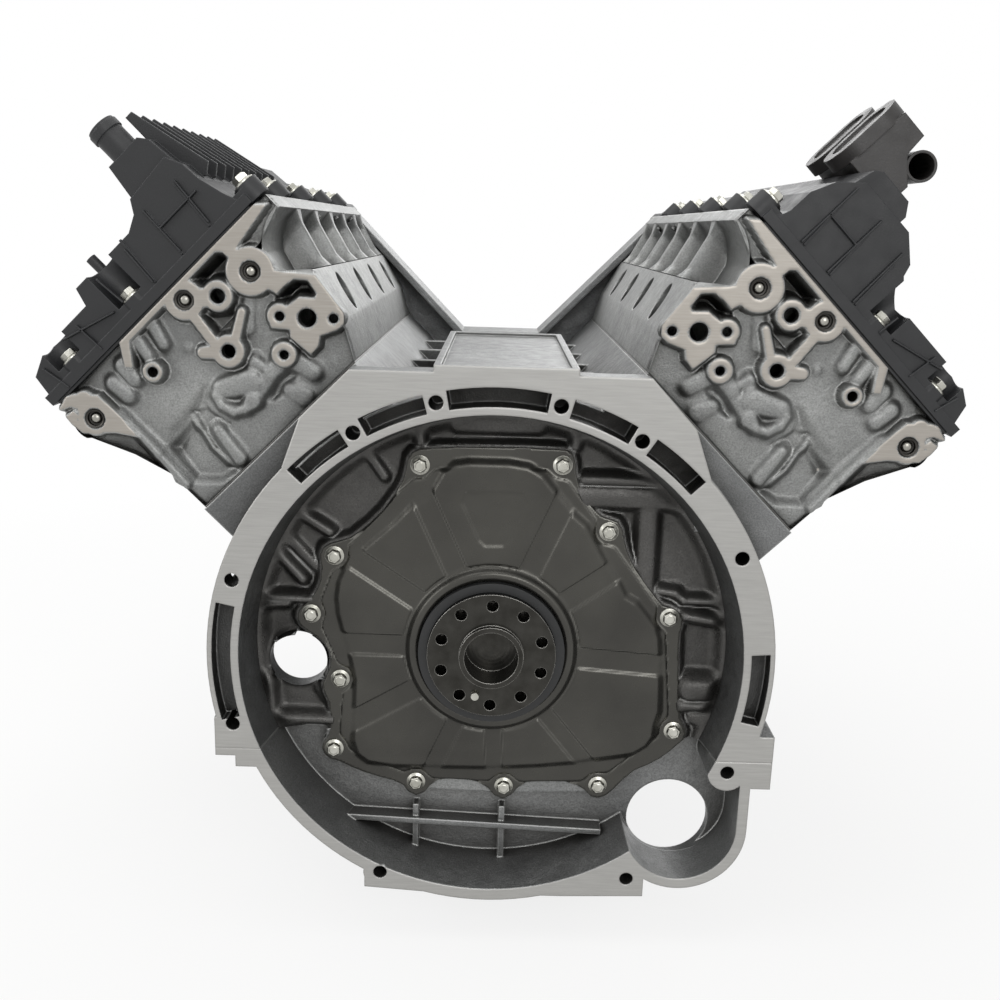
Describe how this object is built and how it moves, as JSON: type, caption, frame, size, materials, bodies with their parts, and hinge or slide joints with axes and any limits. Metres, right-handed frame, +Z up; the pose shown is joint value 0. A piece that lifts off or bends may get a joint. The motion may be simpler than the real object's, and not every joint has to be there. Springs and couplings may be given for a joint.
{
  "type": "v8 engine long block",
  "caption": "Ninety-degree V8 petrol engine, seen from the gearbox end: alloy block and heads, black covers, bell, crank with flange, sump, valve gear and chains.",
  "frame": {"origin": "centre of the crankshaft's rear flange face, on the crank axis", "axes": "+X to the right seen from the gearbox end, +Y along the crankshaft towards the front of the engine, +Z up"},
  "size_m": [0.7014, 0.63, 0.6508],
  "materials": {
    "block_casting": "as cast, machined faces",
    "head_casting": "as cast, machined faces",
    "sump_casting": "as cast, machined faces",
    "timing_casting": "as cast",
    "cast_iron": "machined",
    "bolt_steel": "phosphated",
    "bearing_metal": "polished",
    "zinc_steel": "zinc plated",
    "crank_steel": "forged, ground journals",
    "piston_alloy": "turned",
    "ring_steel": "ground",
    "polished_steel": "ground",
    "forged_steel": "forged",
    "sprocket_steel": "hardened",
    "coated_steel": "dark coated sheet",
    "seal_rubber": "smooth",
    "painted_steel": "satin black",
    "tube_steel": "drawn",
    "pulley_steel": "satin black",
    "plug_steel": "bright",
    "cap_alloy": "machined",
    "spring_steel": "shot peened",
    "plug_shell": "nickel plated",
    "guide_plastic": "moulded",
    "pump_alloy": "machined",
    "cap_plastic": "moulded",
    "separator_plastic": "moulded",
    "gasket_steel": "layered sheet",
    "cam_steel": "ground lobes",
    "valve_steel": "ground",
    "chain_steel": "rolled",
    "cover_plastic": "moulded, glass filled"
  },
  "bodies": {
    "engine": {"cam_caps": "cap_alloy", "chain_guides": "guide_plastic", "connecting_rods": "forged_steel", "core_plugs": "zinc_steel", "cover_bolts": "zinc_steel", "cover_gasket_left": "seal_rubber", "cover_gasket_right": "seal_rubber", "cylinder_block": "block_casting", "cylinder_head_left": "head_casting", "cylinder_head_right": "head_casting", "drain_plug": "zinc_steel", "front_main_seal": "seal_rubber", "head_bolts": "bolt_steel", "head_gasket_left": "gasket_steel", "head_gasket_right": "gasket_steel", "head_plugs": "plug_steel", "main_bearing_caps": "cast_iron", "main_bearing_shells": "bearing_metal", "main_cap_bolts": "bolt_steel", "oil_filler_cap": "cap_plastic", "oil_pan_lower": "painted_steel", "oil_pan_upper": "sump_casting", "oil_pickup": "tube_steel", "oil_pump": "pump_alloy", "oil_separator": "separator_plastic", "piston_rings": "ring_steel", "pistons": "piston_alloy", "rear_main_seal": "seal_rubber", "seal_cover": "coated_steel", "seal_cover_bolts": "zinc_steel", "spark_plugs": "plug_shell", "sump_bolts": "zinc_steel", "tappets_left": "polished_steel", "tappets_right": "polished_steel", "timing_chain_left": "chain_steel", "timing_chain_right": "chain_steel", "timing_cover": "timing_casting", "timing_cover_bolts": "zinc_steel", "valve_cover_left": "cover_plastic", "valve_cover_right": "cover_plastic", "valve_springs": "spring_steel", "valves_left": "valve_steel", "valves_right": "valve_steel", "wrist_pins": "polished_steel"},
    "crank": {"crankshaft": "crank_steel", "crank_dowel_pin": "zinc_steel", "crank_sprocket": "sprocket_steel", "crank_pulley": "pulley_steel", "pulley_bolt": "bolt_steel"},
    "intake_cam_right": {"intake_camshaft_right": "cam_steel", "intake_sprocket_right": "sprocket_steel"},
    "exhaust_cam_right": {"exhaust_camshaft_right": "cam_steel", "exhaust_sprocket_right": "sprocket_steel"},
    "intake_cam_left": {"intake_camshaft_left": "cam_steel", "intake_sprocket_left": "sprocket_steel"},
    "exhaust_cam_left": {"exhaust_camshaft_left": "cam_steel", "exhaust_sprocket_left": "sprocket_steel"}
  },
  "joints": [
    {"name": "crank_spin", "type": "hinge", "parent": "engine", "child": "crank", "pos_m": [0, 0, 0], "axis": [0, 1, 0], "continuous": true, "deforming": ["connecting_rods", "pistons", "piston_rings", "wrist_pins"]},
    {"name": "intake_cam_spin_right", "type": "hinge", "parent": "engine", "child": "intake_cam_right", "pos_m": [0.20683, 0.25, 0.28249], "axis": [0, 1, 0], "continuous": true, "deforming": ["tappets_right", "valves_right", "valve_springs"]},
    {"name": "exhaust_cam_spin_right", "type": "hinge", "parent": "engine", "child": "exhaust_cam_right", "pos_m": [0.28249, 0.25, 0.20683], "axis": [0, 1, 0], "continuous": true},
    {"name": "intake_cam_spin_left", "type": "hinge", "parent": "engine", "child": "intake_cam_left", "pos_m": [-0.20683, 0.25, 0.28249], "axis": [0, 1, 0], "continuous": true, "deforming": ["tappets_left", "valves_left"]},
    {"name": "exhaust_cam_spin_left", "type": "hinge", "parent": "engine", "child": "exhaust_cam_left", "pos_m": [-0.28249, 0.25, 0.20683], "axis": [0, 1, 0], "continuous": true}
  ],
  "couplings": [
    {"joint": "intake_cam_spin_right", "follows": "crank_spin", "ratio": 0.5},
    {"joint": "exhaust_cam_spin_right", "follows": "crank_spin", "ratio": 0.5},
    {"joint": "intake_cam_spin_left", "follows": "crank_spin", "ratio": 0.5},
    {"joint": "exhaust_cam_spin_left", "follows": "crank_spin", "ratio": 0.5}
  ]
}
